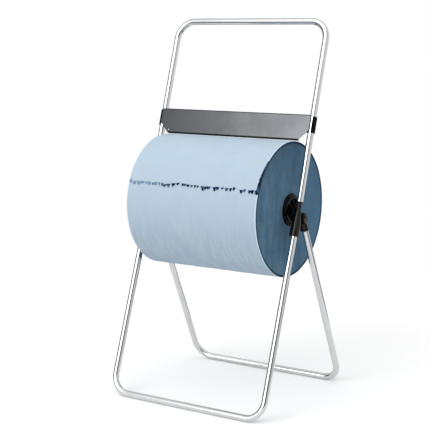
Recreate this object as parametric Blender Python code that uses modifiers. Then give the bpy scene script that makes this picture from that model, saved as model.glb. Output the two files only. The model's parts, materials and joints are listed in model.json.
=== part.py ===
"""Floor stand for a wide roll of wiping paper.

Three bent tubes meet in a moulded connector on each side: a handle frame that leans back, a front leg
frame that carries its line on to the floor, and a rear leg frame that folds forward on a pivot bolt.
The roll turns on two flanged plugs round a steel rod, which lies in the connectors' open cradles. A
folded sheet-metal tear bar slides on the handle frame and rests on the roll.

Metres, +Z up, +X to the right seen from the front, and the front faces -Y. The origin is on the floor
in the middle of the base.
"""
import math

import bmesh
import bpy
from mathutils import Matrix, Vector

# Frame: lines are those of the tubes' centres, and lengths "along" are measured from the axle's level.
FRAME_WIDTH = 0.430          # between the centres of the handle's two tubes, and of the front legs
REAR_WIDTH = 0.434
AXLE_HEIGHT = 0.476
HANDLE_LENGTH = 0.467        # along the handle, up to the top bar
HANDLE_LEAN = math.radians(17.7)
FRONT_LEAN = math.radians(19.6)
REAR_LEAN = math.radians(25.2)
FRONT_OFFSET = -0.020        # handle and front legs pass in front of the axle
REAR_OFFSET = -0.012
TUBE_RADIUS = 0.008
TUBE_WALL = 0.0012
BEND_RADIUS = 0.045
BEND_STEPS = 8
TUBE_BEVEL_STEPS = 6         # 16 sides

# Moulded connectors, along their legs
HANDLE_SEAT = 0.024          # where the handle's tube ends, over the connector's spigot
FRONT_TUBE_SEAT = 0.020      # where the front leg's tube begins, in the sleeve
SLEEVE_BOTTOM = 0.060
SOCKET_RADIUS = 0.0084
SPIGOT_RADIUS = 0.0061
SPIGOT_TIP = 0.050
SHOULDER = 0.0040            # top of the sleeve, above the axle's level
TONGUE_INNER = -0.0036       # across, from the centre of the front sleeve
TONGUE_OUTER = 0.0038
TONGUE_RADIUS = 0.0085
TONGUE_LENGTH = 0.015        # from the pivot into the sleeve
WEB_LENGTH = 0.0115          # web from the cradle back to the sleeve, above and below the axle
WEB_ABOVE = 0.0050
WEB_BELOW = 0.0065
SOCKET_TOP = 0.014           # rear socket, from the pivot
SOCKET_BOTTOM = 0.0385
REAR_TUBE_SEAT = 0.018
EYE_RADIUS = 0.0090
EYE_INNER = 0.0042
EYE_OUTER = 0.0120
PIVOT_DROP = 0.0125          # pivot below the axle
BOLT_RADIUS = 0.0029
BOLT_HOLE = 0.0033
PIVOT_NUT_RADIUS = 0.0058    # to the nut's corners
PIVOT_NUT_THICKNESS = 0.0046

# Axle and roll
ROD_RADIUS = 0.0050
ROD_HALF = 0.2036
CRADLE_INNER = 0.1966
CRADLE_OUTER = 0.2042
CRADLE_RADIUS = 0.0105
CRADLE_TOP = 0.0115
SLOT_RADIUS = 0.0054
ROLL_RADIUS = 0.165
ROLL_HALF = 0.183
CORE_RADIUS = 0.0370
CORE_BORE = 0.0340
PLUG_BORE = 0.0054
PLUG_HUB = 0.0115            # how far the plug's hub stands out of the roll's end
PLUG_DEPTH = 0.0300          # and how far its barrel goes in
PLUG_RIBS = 8
FLANGE_RADIUS = 0.0395
WASHER_RADIUS = 0.0100

# Tear bar, along the handle, and in front of the handle's tubes
BAR_HEIGHT = 0.0635
BAR_HALF = 0.2136
BAR_FRONT = 0.0113
BAR_SHEET = 0.0012
BAR_FLANGE = 0.0085
BAR_BEND = 0.0030
CORNER_CUT = 0.025
TOP_FLANGE_HALF = 0.1880
CLIP_LENGTH = 0.0395
CLIP_DROP = 0.0032           # below the bar's top edge, clear of its bend
CLIP_BORE = 0.0084
CLIP_WALL = 0.0016
CLIP_LIP = math.radians(18.6)
CLIP_INNER_END = 0.0240      # the clip's foot reaches this far in from the tube's centre
CLIP_FOOT = 0.0025
STUD_RADIUS = 0.0020
STUD_LENGTH = 0.0105
STUD_INSET = 0.0175          # from the tube's centre
STUD_SPACING = 0.024
CLIP_NUT_RADIUS = 0.0040
CLIP_NUT_THICKNESS = 0.0032
HANGING_HOLE = 0.0018        # its radius, and its height above the bar's lower edge
HANGING_HOLE_HEIGHT = 0.0085

GAP = 0.0003                 # between pieces that touch
OVERRUN = 0.001              # how far a cutter runs past the face that it cuts
WELD = 0.00001

# What follows from those
SIDES = (("left", -1), ("right", 1))
HANDLE_UP = Vector((0, math.sin(HANDLE_LEAN), math.cos(HANDLE_LEAN)))
HANDLE_FRONT = Vector((0, -math.cos(HANDLE_LEAN), math.sin(HANDLE_LEAN)))
FRONT_DOWN = Vector((0, -math.sin(FRONT_LEAN), -math.cos(FRONT_LEAN)))
FRONT_SQUARE = Vector((0, -math.cos(FRONT_LEAN), math.sin(FRONT_LEAN)))
REAR_DOWN = Vector((0, math.sin(REAR_LEAN), -math.cos(REAR_LEAN)))
ACROSS = Vector((1, 0, 0))
LEG_DROP = AXLE_HEIGHT - TUBE_RADIUS
FRONT_LENGTH = LEG_DROP / math.cos(FRONT_LEAN)
REAR_LENGTH = LEG_DROP / math.cos(REAR_LEAN)
FRONT_FOOT = FRONT_OFFSET - LEG_DROP * math.tan(FRONT_LEAN)
REAR_FOOT = REAR_OFFSET + LEG_DROP * math.tan(REAR_LEAN)
AXLE_Y = -(FRONT_FOOT + REAR_FOOT) / 2
AXLE = Vector((0, AXLE_Y, AXLE_HEIGHT))
FRONT_START = AXLE + Vector((0, FRONT_OFFSET, 0))
REAR_START = AXLE + Vector((0, REAR_OFFSET, 0))
PIVOT_ALONG = PIVOT_DROP / math.cos(REAR_LEAN)
PIVOT = REAR_START + REAR_DOWN * PIVOT_ALONG


def resting_height():
    """How far along the handle the bar's lower flange touches the roll, at the flange's rear edge."""
    depth = BAR_FRONT - BAR_FLANGE
    edge = FRONT_START + HANDLE_FRONT * depth - AXLE
    along = edge.dot(HANDLE_UP)
    across = edge.dot(edge) - along * along
    return math.sqrt((ROLL_RADIUS + GAP) ** 2 - across) - along


BAR_BOTTOM = resting_height()
BAR_TOP = BAR_BOTTOM + BAR_HEIGHT

PARTS = "wiping_roll_floor_stand"
CUTTERS = "cutters"


# ---------------------------------------------------------------- scene and materials

def clear_scene():
    for obj in list(bpy.data.objects):
        bpy.data.objects.remove(obj)
    for name in (PARTS, CUTTERS):
        bpy.context.scene.collection.children.link(bpy.data.collections.new(name))


def material(name, colour, roughness, metallic=0.0):
    made = bpy.data.materials.new(name)
    made.use_nodes = True
    shader = made.node_tree.nodes["Principled BSDF"]
    shader.inputs["Base Color"].default_value = (*colour, 1)
    shader.inputs["Roughness"].default_value = roughness
    shader.inputs["Metallic"].default_value = metallic
    return made


def chrome(name):
    return material(name, (0.80, 0.80, 0.81), 0.08, 1.0)


def black_plastic(name):
    return material(name, (0.012, 0.012, 0.013), 0.30)


def zinc_steel(name):
    return material(name, (0.55, 0.56, 0.58), 0.35, 1.0)


# ---------------------------------------------------------------- shapes

def add_object(name, mesh, place=None):
    obj = bpy.data.objects.new(name, mesh)
    bpy.data.collections[PARTS].objects.link(obj)
    if place is not None:
        obj.matrix_world = place
    return obj


def as_cutter(obj):
    """A helper for a Boolean: it stays out of the object itself."""
    bpy.data.collections[PARTS].objects.unlink(obj)
    bpy.data.collections[CUTTERS].objects.link(obj)
    obj.hide_render = True
    obj.display_type = "WIRE"
    return obj


def placed(origin, x_axis, y_axis, z_axis):
    turned = Matrix((x_axis, y_axis, z_axis)).transposed().to_4x4()
    return Matrix.Translation(origin) @ turned


def pointing(origin, z_axis):
    """A place whose +Z runs along z_axis, in a plane square to X or along X."""
    z_axis = Vector(z_axis).normalized()
    if abs(z_axis.x) > 0.5:
        x_axis = Vector((0, 0, -z_axis.x))
    else:
        x_axis = ACROSS
    return placed(origin, x_axis, z_axis.cross(x_axis), z_axis)


def turned(name, profile, place, steps=24):
    """A solid of revolution about +Z. The profile is (radius, height) points, down its outer side."""
    closed = profile[0][0] > 0
    mesh = bpy.data.meshes.new(name)
    points = [(radius, 0, height) for radius, height in profile]
    edges = [(i, i + 1) for i in range(len(points) - 1)]
    if closed:
        edges.append((len(points) - 1, 0))
    mesh.from_pydata(points, edges, [])
    obj = add_object(name, mesh, place)
    screw = obj.modifiers.new("turn", "SCREW")
    screw.axis = "Z"
    screw.steps = steps
    screw.render_steps = steps
    screw.use_merge_vertices = True
    screw.merge_threshold = WELD
    screw.use_smooth_shade = True
    return obj


def curve_as_mesh(curve_obj, name):
    """The curve's evaluated shape as a mesh object in the same place, its loose caps welded on."""
    bpy.context.view_layer.update()
    evaluated = curve_obj.evaluated_get(bpy.context.evaluated_depsgraph_get())
    mesh = bpy.data.meshes.new_from_object(evaluated)
    mesh.name = name
    place = curve_obj.matrix_world.copy()
    bpy.data.objects.remove(curve_obj)
    bm = bmesh.new()
    bm.from_mesh(mesh)
    bmesh.ops.remove_doubles(bm, verts=bm.verts, dist=WELD)
    bmesh.ops.recalc_face_normals(bm, faces=bm.faces)
    bm.to_mesh(mesh)
    bm.free()
    return add_object(name, mesh, place)


def new_curve(name, points, cyclic):
    curve = bpy.data.curves.new(name, "CURVE")
    spline = curve.splines.new("POLY")
    spline.points.add(len(points) - 1)
    for point, co in zip(spline.points, points):
        point.co = (*co, 1)
    spline.use_cyclic_u = cyclic
    return curve


def slab(name, outline, thickness, place):
    """A flat piece: its outline in its own XY plane, with the thickness shared on both sides of it."""
    curve = new_curve(name, [(x, y, 0) for x, y in outline], True)
    curve.dimensions = "2D"
    curve.fill_mode = "BOTH"
    curve.extrude = thickness / 2
    return curve_as_mesh(add_object(name + "_outline", curve, place), name)


def box(name, low, high):
    """A block between two corners in the world."""
    mesh = bpy.data.meshes.new(name)
    bm = bmesh.new()
    bmesh.ops.create_cube(bm, size=1)
    size = Vector(high) - Vector(low)
    bmesh.ops.scale(bm, vec=size, verts=bm.verts)
    bmesh.ops.translate(bm, vec=Vector(low) + size / 2, verts=bm.verts)
    bm.to_mesh(mesh)
    bm.free()
    return add_object(name, mesh)


def rod(name, radius, start, end, sides=24):
    """A plain round bar between two points."""
    axis = Vector(end) - Vector(start)
    mesh = bpy.data.meshes.new(name)
    bm = bmesh.new()
    bmesh.ops.create_cone(bm, cap_ends=True, segments=sides, radius1=radius, radius2=radius,
                          depth=axis.length)
    bm.to_mesh(mesh)
    bm.free()
    return add_object(name, mesh, pointing((Vector(start) + Vector(end)) / 2, axis))


def combine(target, other, operation):
    step = target.modifiers.new(other.name, "BOOLEAN")
    step.operation = operation
    step.object = as_cutter(other)
    return target


def join(target, other):
    return combine(target, other, "UNION")


def cut(target, other):
    return combine(target, other, "DIFFERENCE")


def finish(obj, made_of):
    obj.data.materials.clear()
    obj.data.materials.append(made_of)
    obj.data.shade_smooth()
    obj.data.set_sharp_from_angle(angle=math.radians(35))
    return obj


def arc(centre, radius, start, end, steps):
    """Points of an arc, from the start angle to the end angle."""
    angles = [start + (end - start) * i / steps for i in range(steps + 1)]
    return [(centre[0] + radius * math.cos(a), centre[1] + radius * math.sin(a)) for a in angles]


# ---------------------------------------------------------------- bent tube frames

def bent_frame(name, width, start, direction, first, last):
    """A U of tube: two legs along direction from first to last, joined by a bar across at last."""
    inner = width / 2 - BEND_RADIUS
    corner = last - BEND_RADIUS
    route = [(-width / 2, first)]
    route += arc((-inner, corner), BEND_RADIUS, math.pi, math.pi / 2, BEND_STEPS)
    route += arc((inner, corner), BEND_RADIUS, math.pi / 2, 0, BEND_STEPS)
    route += [(width / 2, first)]
    points = [start + ACROSS * x + direction * along for x, along in route]
    curve = new_curve(name, points, False)
    curve.dimensions = "3D"
    curve.bevel_depth = TUBE_RADIUS
    curve.bevel_resolution = TUBE_BEVEL_STEPS
    tube = curve_as_mesh(add_object(name + "_route", curve), name)
    wall = tube.modifiers.new("wall", "SOLIDIFY")
    wall.thickness = TUBE_WALL
    wall.offset = -1
    wall.use_even_offset = True
    return finish(tube, chrome(name))


def build_frames():
    bent_frame("handle_frame", FRAME_WIDTH, FRONT_START, HANDLE_UP, HANDLE_SEAT, HANDLE_LENGTH)
    bent_frame("front_leg_frame", FRAME_WIDTH, FRONT_START, FRONT_DOWN, FRONT_TUBE_SEAT, FRONT_LENGTH)
    rear = bent_frame("rear_leg_frame", REAR_WIDTH, REAR_START, REAR_DOWN,
                      PIVOT_ALONG + REAR_TUBE_SEAT, REAR_LENGTH)
    move_origin(rear, PIVOT)


def move_origin(obj, point):
    """Puts a moving piece's origin on its joint's axis without moving the piece."""
    shift = Matrix.Translation(Vector(point))
    obj.data.transform(shift.inverted() @ obj.matrix_world)
    obj.matrix_world = shift


# ---------------------------------------------------------------- moulded connectors and their pivots

def sleeve_profile():
    """The front sleeve, down from its shoulder, and up again inside its socket."""
    return [
        (0, SHOULDER),
        (0.0064, SHOULDER),
        (0.0078, SHOULDER - 0.0014),
        (0.0084, -0.006),
        (0.0088, -0.014),
        (0.0092, -0.020),
        (0.0104, -0.030),
        (0.0117, -0.041),
        (0.0121, -0.048),
        (0.0121, -SLEEVE_BOTTOM + 0.0012),
        (0.0109, -SLEEVE_BOTTOM),
        (SOCKET_RADIUS, -SLEEVE_BOTTOM),
        (SOCKET_RADIUS, -FRONT_TUBE_SEAT + GAP),
        (0, -FRONT_TUBE_SEAT + GAP),
    ]


def side_outline(centre, radius, towards, length, steps=12):
    """A round-ended arm in the YZ plane: a half circle at its centre, and straight on by length."""
    angle = math.atan2(towards.z, towards.y)
    end = arc((centre.y, centre.z), radius, angle + math.pi / 2, angle + math.pi * 1.5, steps)
    reach = Vector((towards.y, towards.z)) * length
    last = (end[-1][0] + reach.x, end[-1][1] + reach.y)
    first = (end[0][0] + reach.x, end[0][1] + reach.y)
    return end + [last, first]


def upright_slab(name, outline, side, inner, outer):
    """A slab whose outline lies in the world's YZ plane, between two distances from the middle."""
    place = placed((side * (inner + outer) / 2, 0, 0), (0, 1, 0), (0, 0, 1), (1, 0, 0))
    return slab(name, outline, outer - inner, place)


def open_cup(radius, top):
    """A U round the axle in the YZ plane, open at the top."""
    cup = arc((AXLE.y, AXLE.z), radius, -math.pi, 0, 14)
    return cup + [(AXLE.y + radius, AXLE.z + top), (AXLE.y - radius, AXLE.z + top)]


def build_connector(name, side):
    middle = FRAME_WIDTH / 2
    start = FRONT_START + ACROSS * side * middle
    body = turned(name, sleeve_profile(), pointing(start, -FRONT_DOWN), 24)
    spigot_root = start - HANDLE_UP * 0.003
    join(body, rod(name + "_spigot", SPIGOT_RADIUS, spigot_root, start + HANDLE_UP * SPIGOT_TIP))
    lobe = side_outline(PIVOT, TONGUE_RADIUS, FRONT_SQUARE, TONGUE_LENGTH)
    join(body, upright_slab(name + "_tongue", lobe, side, middle + TONGUE_INNER, middle + TONGUE_OUTER))
    cup = open_cup(CRADLE_RADIUS, CRADLE_TOP)
    join(body, upright_slab(name + "_cradle", cup, side, CRADLE_INNER, CRADLE_OUTER))
    web_back = AXLE.y - CRADLE_RADIUS + 0.0015
    web_ends = sorted((side * CRADLE_INNER, side * (middle - 0.004)))
    web = box(name + "_web", (web_ends[0], web_back - WEB_LENGTH, AXLE.z - WEB_BELOW),
              (web_ends[1], web_back, AXLE.z + WEB_ABOVE))
    join(body, web)
    groove = open_cup(SLOT_RADIUS, 2 * CRADLE_TOP)
    groove_ends = (CRADLE_INNER - OVERRUN, CRADLE_OUTER + 0.0004)
    cut(body, upright_slab(name + "_groove", groove, side, *groove_ends))
    cut(body, pivot_hole(name + "_hole", side))
    return finish(body, black_plastic(name))


def pivot_hole(name, side):
    inner = PIVOT + ACROSS * side * (FRAME_WIDTH / 2 - 0.02)
    return rod(name, BOLT_HOLE, inner, inner + ACROSS * side * 0.045, 20)


def rear_profile():
    """The rear socket, from its flat top down to its collar, and up again inside."""
    bore_top = -REAR_TUBE_SEAT + GAP
    collar = -SOCKET_BOTTOM + 0.0048
    return [
        (0, -SOCKET_TOP),
        (0.0088, -SOCKET_TOP),
        (0.0097, -SOCKET_TOP - 0.0012),
        (0.0099, collar + 0.0010),
        (0.0107, collar),
        (0.0107, -SOCKET_BOTTOM + 0.0008),
        (0.0099, -SOCKET_BOTTOM),
        (SOCKET_RADIUS, -SOCKET_BOTTOM),
        (SOCKET_RADIUS, bore_top),
        (0, bore_top),
    ]


def build_rear_socket(name, side):
    middle = REAR_WIDTH / 2
    pivot = PIVOT + ACROSS * side * middle
    body = turned(name, rear_profile(), pointing(pivot, -REAR_DOWN), 24)
    eye = side_outline(PIVOT, EYE_RADIUS, REAR_DOWN, SOCKET_TOP + 0.003)
    inner = FRAME_WIDTH / 2 + EYE_INNER
    join(body, upright_slab(name + "_eye", eye, side, inner, FRAME_WIDTH / 2 + EYE_OUTER))
    cut(body, pivot_hole(name + "_hole", side))
    return finish(body, black_plastic(name))


def build_pivot(word, side):
    """The bolt comes in from outside, and its nut is on the connector's inner face."""
    head_base = FRAME_WIDTH / 2 + EYE_OUTER + GAP
    nut_far = FRAME_WIDTH / 2 + TONGUE_INNER - GAP
    tip = nut_far - PIVOT_NUT_THICKNESS - 0.0006
    profile = [
        (0, 0.0026),
        (0.0030, 0.0023),
        (0.0048, 0.0014),
        (0.0056, 0),
        (BOLT_RADIUS, 0),
        (BOLT_RADIUS, tip - head_base + 0.0005),
        (BOLT_RADIUS - 0.0005, tip - head_base),
        (0, tip - head_base),
    ]
    outward = ACROSS * side
    bolt = turned("pivot_bolt_" + word, profile, pointing(PIVOT + outward * head_base, outward), 20)
    finish(bolt, material(bolt.name, (0.03, 0.03, 0.032), 0.35, 0.6))
    hex_nut("pivot_nut_" + word, PIVOT + outward * nut_far, -outward, PIVOT_NUT_RADIUS,
            BOLT_RADIUS + GAP, PIVOT_NUT_THICKNESS)


def hex_nut(name, face, direction, radius, bore, thickness):
    """A hexagon nut that runs from face along direction. Its radius is to its corners."""
    far = face + direction * thickness
    nut = rod(name, radius, face, far, 6)
    cut(nut, rod(name + "_bore", bore, face - direction * OVERRUN, far + direction * OVERRUN, 16))
    return finish(nut, zinc_steel(name))


# ---------------------------------------------------------------- axle, plugs and roll

def build_axle():
    chamfer = 0.0008
    profile = [
        (0, ROD_HALF),
        (ROD_RADIUS - chamfer, ROD_HALF),
        (ROD_RADIUS, ROD_HALF - chamfer),
        (ROD_RADIUS, -ROD_HALF + chamfer),
        (ROD_RADIUS - chamfer, -ROD_HALF),
        (0, -ROD_HALF),
    ]
    finish(turned("axle_rod", profile, pointing(AXLE, ACROSS), 24), zinc_steel("axle_rod"))


def plug_profile():
    """A flanged plug: hub, ribbed recess, rounded flange, then the barrel that grips the core."""
    barrel = CORE_BORE - 0.0005
    return [
        (PLUG_BORE, PLUG_HUB),
        (0.0110, PLUG_HUB),
        (0.0120, PLUG_HUB - 0.0010),
        (0.0124, 0.0045),
        (0.0265, 0.0045),
        (0.0275, 0.0085),
        (0.0315, 0.0085),
        (0.0350, 0.0072),
        (0.0380, 0.0045),
        (FLANGE_RADIUS, 0.0018),
        (FLANGE_RADIUS, GAP),
        (barrel, GAP),
        (barrel, -PLUG_DEPTH + 0.0030),
        (barrel - 0.0015, -PLUG_DEPTH),
        (barrel - 0.0030, -PLUG_DEPTH),
        (barrel - 0.0030, 0.0010),
        (0.0100, 0.0010),
        (0.0100, -PLUG_DEPTH),
        (PLUG_BORE, -PLUG_DEPTH),
    ]


def build_plug(name, side):
    outward = ACROSS * side
    face = AXLE + outward * ROLL_HALF
    plug = turned(name, plug_profile(), pointing(face, outward), 32)
    for i in range(PLUG_RIBS):
        angle = 2 * math.pi * i / PLUG_RIBS
        radial = Vector((0, math.cos(angle), math.sin(angle)))
        outline = [(0.0117, 0.0040), (0.0280, 0.0040), (0.0280, 0.0080), (0.0117, 0.0080)]
        place = placed(face, radial, outward, radial.cross(outward))
        join(plug, slab("%s_rib_%d" % (name, i), outline, 0.0018, place))
    return finish(plug, black_plastic(name))


def ring(name, inner, outer, low, high, steps):
    """A plain ring about the axle, between two distances along it."""
    profile = [(inner, high), (outer, high), (outer, low), (inner, low)]
    return turned(name, profile, pointing(AXLE, ACROSS), steps)


def build_roll():
    core = ring("roll_core", CORE_BORE, CORE_RADIUS - GAP, -ROLL_HALF, ROLL_HALF, 40)
    finish(core, material("roll_core", (0.36, 0.27, 0.18), 0.9))
    paper = ring("paper_roll", CORE_RADIUS, ROLL_RADIUS, -ROLL_HALF, ROLL_HALF, 72)
    finish(paper, material("paper_roll", (0.52, 0.63, 0.74), 0.85))


def build_washers():
    low = ROLL_HALF + PLUG_HUB + GAP
    high = CRADLE_INNER - GAP
    for word, side in SIDES:
        ends = sorted((side * low, side * high))
        washer = ring("thrust_washer_" + word, ROD_RADIUS + GAP, WASHER_RADIUS, ends[0], ends[1], 24)
        finish(washer, zinc_steel(washer.name))


# ---------------------------------------------------------------- tear bar

def bar_section():
    """The bar's outer line: (depth in front of the tubes, length along the handle), top to bottom."""
    bend = BAR_FRONT - BAR_BEND
    rear = BAR_FRONT - BAR_FLANGE
    line = [(rear, BAR_TOP)]
    line += arc((bend, BAR_TOP - BAR_BEND), BAR_BEND, math.pi / 2, 0, 5)
    line += arc((bend, BAR_BOTTOM + BAR_BEND), BAR_BEND, 0, -math.pi / 2, 5)
    line += [(rear, BAR_BOTTOM)]
    return line


def bar_point(x, depth, along):
    return FRONT_START + ACROSS * x + HANDLE_FRONT * depth + HANDLE_UP * along


def build_tear_bar():
    place = placed(FRONT_START, HANDLE_FRONT, HANDLE_UP, HANDLE_FRONT.cross(HANDLE_UP))
    ribbon = new_curve("tear_bar", [(depth, along, 0) for depth, along in bar_section()], False)
    ribbon.dimensions = "3D"
    ribbon.extrude = BAR_HALF
    bar = curve_as_mesh(add_object("tear_bar_line", ribbon, place), "tear_bar")
    sheet = bar.modifiers.new("sheet", "SOLIDIFY")
    sheet.thickness = BAR_SHEET
    sheet.offset = bar_sheet_side(bar)
    sheet.use_even_offset = True
    for word, side in SIDES:
        cut_bar_corner(bar, word, side)
        cut_top_flange(bar, word, side)
        for along in stud_heights():
            root = bar_point(side * (FRAME_WIDTH / 2 - STUD_INSET), BAR_FRONT - BAR_SHEET * 0.6, along)
            tip = root - HANDLE_FRONT * STUD_LENGTH
            join(bar, rod("stud_%s_%d" % (word, along * 1000), STUD_RADIUS, root, tip, 12))
    hole_x = -(BAR_HALF - CORNER_CUT - 0.001)
    hole = bar_point(hole_x, BAR_FRONT + OVERRUN, BAR_BOTTOM + HANGING_HOLE_HEIGHT)
    back = hole - HANDLE_FRONT * (BAR_SHEET + 2 * OVERRUN)
    cut(bar, rod("hanging_hole", HANGING_HOLE, hole, back, 16))
    return finish(bar, material("tear_bar", (0.22, 0.23, 0.24), 0.35, 0.7))


def cut_bar_corner(bar, word, side):
    """The bar's lower corners are cut off at an angle."""
    reach = 0.03
    corner = side * (BAR_HALF - CORNER_CUT)
    beyond = corner + side * 2 * reach
    wedge = [(corner - side * reach, BAR_BOTTOM - reach), (beyond, BAR_BOTTOM - reach),
             (beyond, BAR_BOTTOM + 2 * reach)]
    place = placed(FRONT_START + HANDLE_FRONT * BAR_FRONT, ACROSS, HANDLE_UP, -HANDLE_FRONT)
    cut(bar, slab("corner_" + word, wedge, reach, place))


def cut_top_flange(bar, word, side):
    """The top flange ends before the handle's tubes and the clips."""
    inner = side * TOP_FLANGE_HALF
    outer = side * (BAR_HALF + 0.015)
    low = BAR_TOP - BAR_BEND
    notch = [(inner, low), (outer, low), (outer, low + 0.01), (inner, low + 0.01)]
    deep = 0.02
    rear = FRONT_START + HANDLE_FRONT * (BAR_FRONT - BAR_BEND - deep / 2)
    cut(bar, slab("notch_" + word, notch, deep, placed(rear, ACROSS, HANDLE_UP, -HANDLE_FRONT)))


def bar_sheet_side(bar):
    """Solidify's offset that puts the sheet behind the bar's outer line."""
    tallest = max(bar.data.polygons, key=lambda face: face.area)
    outward = bar.matrix_world.to_3x3() @ tallest.normal
    return -1 if outward.dot(HANDLE_FRONT) > 0 else 1


def clip_middle():
    return BAR_TOP - CLIP_DROP - CLIP_LENGTH / 2


def stud_heights():
    middle = clip_middle()
    return middle - STUD_SPACING / 2, middle + STUD_SPACING / 2


def clip_outline(side):
    """A hook round the tube: (across, backwards) points, from its front lip round to its foot."""
    outer = CLIP_BORE + CLIP_WALL
    lip = CLIP_LIP - math.pi / 2
    back = math.pi
    points = arc((0, 0), outer, lip, back, 20)
    foot_front = -(BAR_FRONT - BAR_SHEET - GAP)
    points += [(-outer, foot_front + CLIP_FOOT), (-CLIP_INNER_END, foot_front + CLIP_FOOT)]
    points += [(-CLIP_INNER_END, foot_front), (-CLIP_BORE, foot_front)]
    points += arc((0, 0), CLIP_BORE, back, lip, 20)
    return [(side * x, y) for x, y in points]


def build_clip(word, side):
    name = "bar_clip_" + word
    centre = FRONT_START + ACROSS * side * FRAME_WIDTH / 2 + HANDLE_UP * clip_middle()
    place = placed(centre, ACROSS, -HANDLE_FRONT, HANDLE_UP)
    clip = slab(name, clip_outline(side), CLIP_LENGTH, place)
    x = side * (FRAME_WIDTH / 2 - STUD_INSET)
    depth = BAR_FRONT - BAR_SHEET - GAP - CLIP_FOOT
    for number, along in enumerate(stud_heights(), 1):
        behind = bar_point(x, depth - OVERRUN, along)
        before = bar_point(x, depth + CLIP_FOOT + OVERRUN, along)
        cut(clip, rod("%s_hole_%d" % (name, number), STUD_RADIUS + GAP, behind, before, 12))
        hex_nut("clip_nut_%s_%d" % (word, number), bar_point(x, depth - GAP, along), -HANDLE_FRONT,
                CLIP_NUT_RADIUS, STUD_RADIUS + GAP, CLIP_NUT_THICKNESS)
    return finish(clip, black_plastic(name))


def main():
    clear_scene()
    build_frames()
    for word, side in SIDES:
        build_connector("connector_" + word, side)
        build_rear_socket("rear_socket_" + word, side)
        build_pivot(word, side)
        build_plug("roll_plug_" + word, side)
        build_clip(word, side)
    build_axle()
    build_washers()
    build_roll()
    build_tear_bar()


main()
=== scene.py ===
import json
import math

import bmesh
import bpy
from mathutils import Matrix, Vector, noise


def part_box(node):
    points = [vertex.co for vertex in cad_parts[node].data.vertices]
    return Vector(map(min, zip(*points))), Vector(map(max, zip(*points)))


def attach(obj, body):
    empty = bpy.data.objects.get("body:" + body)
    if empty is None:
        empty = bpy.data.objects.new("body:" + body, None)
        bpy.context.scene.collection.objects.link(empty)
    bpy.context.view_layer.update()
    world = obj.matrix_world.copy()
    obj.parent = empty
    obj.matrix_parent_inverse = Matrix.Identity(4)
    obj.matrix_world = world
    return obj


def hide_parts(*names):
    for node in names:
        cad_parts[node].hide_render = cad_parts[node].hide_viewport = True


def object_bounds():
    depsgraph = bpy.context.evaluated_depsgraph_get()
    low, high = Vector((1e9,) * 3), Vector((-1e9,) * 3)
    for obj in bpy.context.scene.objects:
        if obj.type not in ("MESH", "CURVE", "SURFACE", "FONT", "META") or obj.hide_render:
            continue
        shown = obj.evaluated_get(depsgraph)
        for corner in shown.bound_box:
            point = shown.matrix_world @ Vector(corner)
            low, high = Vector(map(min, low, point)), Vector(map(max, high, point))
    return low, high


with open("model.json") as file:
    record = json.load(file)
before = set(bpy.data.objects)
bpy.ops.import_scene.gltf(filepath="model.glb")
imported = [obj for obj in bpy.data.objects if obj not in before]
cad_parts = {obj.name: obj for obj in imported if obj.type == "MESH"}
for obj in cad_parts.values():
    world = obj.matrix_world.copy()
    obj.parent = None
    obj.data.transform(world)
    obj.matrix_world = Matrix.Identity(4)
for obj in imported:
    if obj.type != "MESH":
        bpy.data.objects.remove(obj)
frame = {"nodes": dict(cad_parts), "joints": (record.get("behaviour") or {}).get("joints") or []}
CAD_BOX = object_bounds()

# -------- places, from the frame
JOINTS = {joint["name"]: joint for joint in frame["joints"]}
SIDES = (("left", -1), ("right", 1))
ACROSS = Vector((1, 0, 0))
AXLE = Vector(JOINTS["roll_spin"]["pos_m"])
PIVOT = Vector(JOINTS["rear_leg_fold"]["pos_m"])
HANDLE_UP = Vector(JOINTS["bar_slide"]["axis"]).normalized()
HANDLE_FRONT = Vector((0, -HANDLE_UP.z, HANDLE_UP.y))

TUBE = 0.008             # radius of the three bent tubes
TUBE_WALL = 0.0012
TUBE_LIP = 0.0004        # the broken edge at a tube's cut end
TUBE_SIDES = 48
BEND = 0.045             # radius of the bends, at the tube's centre
HANDLE_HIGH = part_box("handle_frame")[1]
FRONT_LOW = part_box("front_leg_frame")[0]
REAR_LOW, REAR_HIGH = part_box("rear_leg_frame")
HALF_WIDTH = HANDLE_HIGH.x - TUBE                # of the handle and the front legs, to the tubes' centres
REAR_HALF_WIDTH = REAR_HIGH.x - TUBE
HANDLE_TOP = Vector((0, HANDLE_HIGH.y - TUBE, HANDLE_HIGH.z - TUBE))
HANDLE_LENGTH = (HANDLE_TOP.z - AXLE.z) / HANDLE_UP.z
START = HANDLE_TOP - HANDLE_UP * HANDLE_LENGTH   # the handle's line at the axle's level
FRONT_FOOT = Vector((0, FRONT_LOW.y + TUBE, FRONT_LOW.z + TUBE))
REAR_FOOT = Vector((0, REAR_HIGH.y - TUBE, REAR_LOW.z + TUBE))
FRONT_DOWN = (FRONT_FOOT - START).normalized()
FRONT_SQUARE = Vector((0, FRONT_DOWN.z, -FRONT_DOWN.y))
FRONT_LENGTH = (FRONT_FOOT - START).length
REAR_DOWN = (REAR_FOOT - PIVOT).normalized()
REAR_LENGTH = (REAR_FOOT - PIVOT).length
ROLL_LOW, ROLL_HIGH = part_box("paper_roll")
ROLL_HALF = ROLL_HIGH.x
ROLL_RADIUS = (ROLL_HIGH.z - ROLL_LOW.z) / 2

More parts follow.
